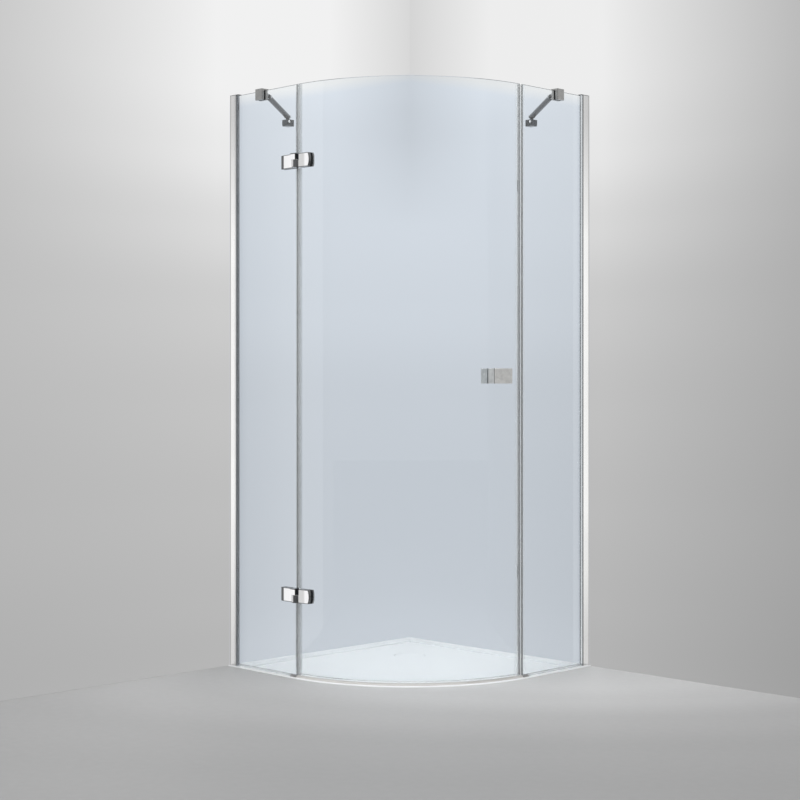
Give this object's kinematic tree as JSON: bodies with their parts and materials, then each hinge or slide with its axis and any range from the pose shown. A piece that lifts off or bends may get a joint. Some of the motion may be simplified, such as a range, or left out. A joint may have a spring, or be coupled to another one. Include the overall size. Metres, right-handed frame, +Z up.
{
  "type": "quadrant shower enclosure",
  "caption": "Quadrant shower enclosure: round-fronted white tray, fixed glass side panels in wall profiles with braces, and a curved hinged glass door with a loop handle.",
  "frame": {"origin": "middle of the tray's underside, on the surface that the tray rests on", "axes": "+Z up; the left wall is the plane at the low end of X, the back wall the plane at the high end of Y, and the round front faces +X and -Y"},
  "size_m": [0.9171, 0.907, 2.0305],
  "materials": {
    "brace_steel": "brushed",
    "brushed_handle": "brushed",
    "cap_plastic": "matte",
    "clear_seal": "translucent",
    "cover_white": "gloss",
    "drain_plastic": "matte",
    "gasket_rubber": "matte",
    "glazing_profile_aluminium": "polished",
    "grey_seal": "matte",
    "hinge_chrome": "polished",
    "magnet_rubber": "matte",
    "nylon": "matte",
    "safety_glass": "clear",
    "stainless_steel": "brushed",
    "threshold_aluminium": "satin",
    "tray_white": "gloss",
    "wall_profile_aluminium": "satin"
  },
  "bodies": {
    "enclosure": {"brace_grub_screws": "stainless_steel", "brace_pins": "stainless_steel", "drain_body": "drain_plastic", "drain_seal": "gasket_rubber", "fixed_edge_seal": "clear_seal", "fixed_magnet_bar": "magnet_rubber", "fixed_magnet_strip": "clear_seal", "hinge_fixed_gaskets": "gasket_rubber", "hinge_fixed_screws": "stainless_steel", "left_bottom_seal": "grey_seal", "left_brace_bar": "brace_steel", "left_brace_clamp": "brace_steel", "left_clamp_pads": "gasket_rubber", "left_fixed_glass": "safety_glass", "left_glazing_gasket": "gasket_rubber", "left_glazing_profile": "glazing_profile_aluminium", "left_profile_cap": "cap_plastic", "left_threshold_cap": "cap_plastic", "left_wall_bracket": "brace_steel", "left_wall_profile": "wall_profile_aluminium", "lower_hinge_fixed_leaf": "hinge_chrome", "lower_hinge_fixed_plate": "hinge_chrome", "lower_hinge_pin": "stainless_steel", "profile_lock_screws": "stainless_steel", "right_bottom_seal": "grey_seal", "right_brace_bar": "brace_steel", "right_brace_clamp": "brace_steel", "right_clamp_pads": "gasket_rubber", "right_fixed_glass": "safety_glass", "right_glazing_gasket": "gasket_rubber", "right_glazing_profile": "glazing_profile_aluminium", "right_profile_cap": "cap_plastic", "right_threshold_cap": "cap_plastic", "right_wall_bracket": "brace_steel", "right_wall_profile": "wall_profile_aluminium", "shower_tray": "tray_white", "threshold_strip": "threshold_aluminium", "upper_hinge_fixed_leaf": "hinge_chrome", "upper_hinge_fixed_plate": "hinge_chrome", "upper_hinge_pin": "stainless_steel"},
    "door": {"door_bottom_seal": "clear_seal", "door_glass": "safety_glass", "door_hinge_seal": "clear_seal", "door_magnet_bar": "magnet_rubber", "door_magnet_strip": "clear_seal", "handle_gaskets": "gasket_rubber", "handle_screws": "stainless_steel", "hinge_door_gaskets": "gasket_rubber", "hinge_door_screws": "stainless_steel", "inner_handle": "brushed_handle", "lower_hinge_bush": "nylon", "lower_hinge_door_leaf": "hinge_chrome", "lower_hinge_door_plate": "hinge_chrome", "outer_handle": "brushed_handle", "upper_hinge_bush": "nylon", "upper_hinge_door_leaf": "hinge_chrome", "upper_hinge_door_plate": "hinge_chrome"},
    "drain_cover_body": {"drain_cover": "cover_white"}
  },
  "joints": [
    {"name": "door_hinge", "type": "hinge", "parent": "enclosure", "child": "door", "pos_m": [-0.098, -0.446, 1.035], "axis": [0, 0, -1], "range_deg": [0, 100]},
    {"name": "drain_cover_lift", "type": "slide", "parent": "enclosure", "child": "drain_cover_body", "axis": [0, 0, 1], "range_m": [0, 0.06]}
  ]
}
